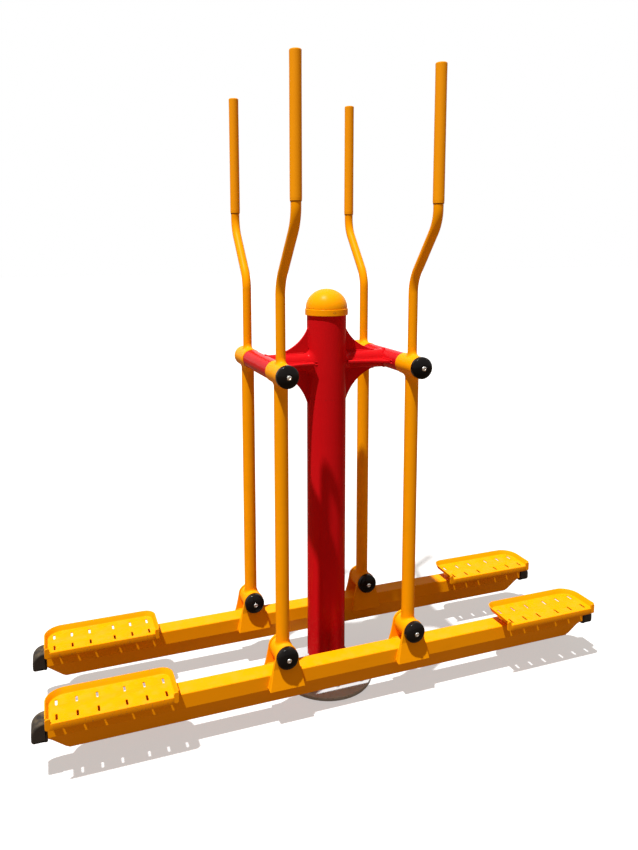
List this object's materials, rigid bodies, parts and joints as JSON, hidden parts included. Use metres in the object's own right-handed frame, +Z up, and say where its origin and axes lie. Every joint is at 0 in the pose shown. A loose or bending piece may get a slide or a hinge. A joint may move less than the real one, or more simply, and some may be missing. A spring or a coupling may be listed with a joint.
{
  "type": "outdoor air walker",
  "caption": "Double air walker on one round post: two level beams with pedals, each hung from two parallel bars that run on up as handles.",
  "frame": {"origin": "on the ground, on the axis of the post", "axes": "+Z up, +X along the beams, +Y from the front beam to the back beam"},
  "size_m": [1.898, 0.653, 1.962],
  "materials": {
    "yellow_paint": "glossy golden yellow powder coat",
    "red_paint": "glossy crimson powder coat",
    "grey_paint": "light grey zinc-rich coat",
    "yellow_plastic": "smooth yellow moulding",
    "grip": "matt dipped vinyl",
    "black_plastic": "glossy black moulding",
    "black_rubber": "matt black rubber",
    "stainless": "stainless steel",
    "bearing_steel": "ground steel"
  },
  "bodies": {
    "post_and_head": {"base_plate": "grey_paint", "post": "red_paint", "head_frame": "red_paint", "post_cap": "yellow_plastic", "upper_axle_left": "bearing_steel", "upper_axle_right": "bearing_steel", "hub_cap_upper_front_left": "black_plastic", "hub_screw_upper_front_left": "stainless", "hub_cap_upper_front_right": "black_plastic", "hub_screw_upper_front_right": "stainless", "hub_cap_upper_back_left": "black_plastic", "hub_screw_upper_back_left": "stainless", "hub_cap_upper_back_right": "black_plastic", "hub_screw_upper_back_right": "stainless"},
    "bar_front_left": {"swing_bar_front_left": "yellow_paint", "grip_front_left": "grip", "upper_bearing_front_left": "bearing_steel", "lower_bearing_front_left": "bearing_steel"},
    "bar_front_right": {"swing_bar_front_right": "yellow_paint", "grip_front_right": "grip", "upper_bearing_front_right": "bearing_steel", "lower_bearing_front_right": "bearing_steel"},
    "carriage_front": {"beam_front": "yellow_paint", "beam_nose_front_left": "black_rubber", "pedal_front_left": "yellow_paint", "lower_axle_front_left": "bearing_steel", "hub_cap_lower_front_left_outer": "black_plastic", "hub_screw_lower_front_left_outer": "stainless", "hub_cap_lower_front_left_inner": "black_plastic", "hub_screw_lower_front_left_inner": "stainless", "beam_nose_front_right": "black_rubber", "pedal_front_right": "yellow_paint", "lower_axle_front_right": "bearing_steel", "hub_cap_lower_front_right_outer": "black_plastic", "hub_screw_lower_front_right_outer": "stainless", "hub_cap_lower_front_right_inner": "black_plastic", "hub_screw_lower_front_right_inner": "stainless"},
    "bar_back_left": {"swing_bar_back_left": "yellow_paint", "grip_back_left": "grip", "upper_bearing_back_left": "bearing_steel", "lower_bearing_back_left": "bearing_steel"},
    "bar_back_right": {"swing_bar_back_right": "yellow_paint", "grip_back_right": "grip", "upper_bearing_back_right": "bearing_steel", "lower_bearing_back_right": "bearing_steel"},
    "carriage_back": {"beam_back": "yellow_paint", "beam_nose_back_left": "black_rubber", "pedal_back_left": "yellow_paint", "lower_axle_back_left": "bearing_steel", "hub_cap_lower_back_left_outer": "black_plastic", "hub_screw_lower_back_left_outer": "stainless", "hub_cap_lower_back_left_inner": "black_plastic", "hub_screw_lower_back_left_inner": "stainless", "beam_nose_back_right": "black_rubber", "pedal_back_right": "yellow_paint", "lower_axle_back_right": "bearing_steel", "hub_cap_lower_back_right_outer": "black_plastic", "hub_screw_lower_back_right_outer": "stainless", "hub_cap_lower_back_right_inner": "black_plastic", "hub_screw_lower_back_right_inner": "stainless"}
  },
  "joints": [
    {"name": "front_swing", "type": "hinge", "parent": "post_and_head", "child": "bar_front_left", "pos_m": [-0.216, -0.175, 1.09], "axis": [0, 1, 0], "range_deg": [-35, 35]},
    {"name": "front_right_bar", "type": "hinge", "parent": "post_and_head", "child": "bar_front_right", "pos_m": [0.216, -0.175, 1.09], "axis": [0, 1, 0], "range_deg": [-35, 35]},
    {"name": "front_beam_level", "type": "hinge", "parent": "bar_front_left", "child": "carriage_front", "pos_m": [-0.216, -0.175, 0.228], "axis": [0, 1, 0], "range_deg": [-35, 35]},
    {"name": "back_swing", "type": "hinge", "parent": "post_and_head", "child": "bar_back_left", "pos_m": [-0.216, 0.175, 1.09], "axis": [0, 1, 0], "range_deg": [-35, 35]},
    {"name": "back_right_bar", "type": "hinge", "parent": "post_and_head", "child": "bar_back_right", "pos_m": [0.216, 0.175, 1.09], "axis": [0, 1, 0], "range_deg": [-35, 35]},
    {"name": "back_beam_level", "type": "hinge", "parent": "bar_back_left", "child": "carriage_back", "pos_m": [-0.216, 0.175, 0.228], "axis": [0, 1, 0], "range_deg": [-35, 35]}
  ],
  "couplings": [
    {"joint": "front_right_bar", "follows": "front_swing", "ratio": 1},
    {"joint": "front_beam_level", "follows": "front_swing", "ratio": -1},
    {"joint": "back_right_bar", "follows": "back_swing", "ratio": 1},
    {"joint": "back_beam_level", "follows": "back_swing", "ratio": -1}
  ]
}
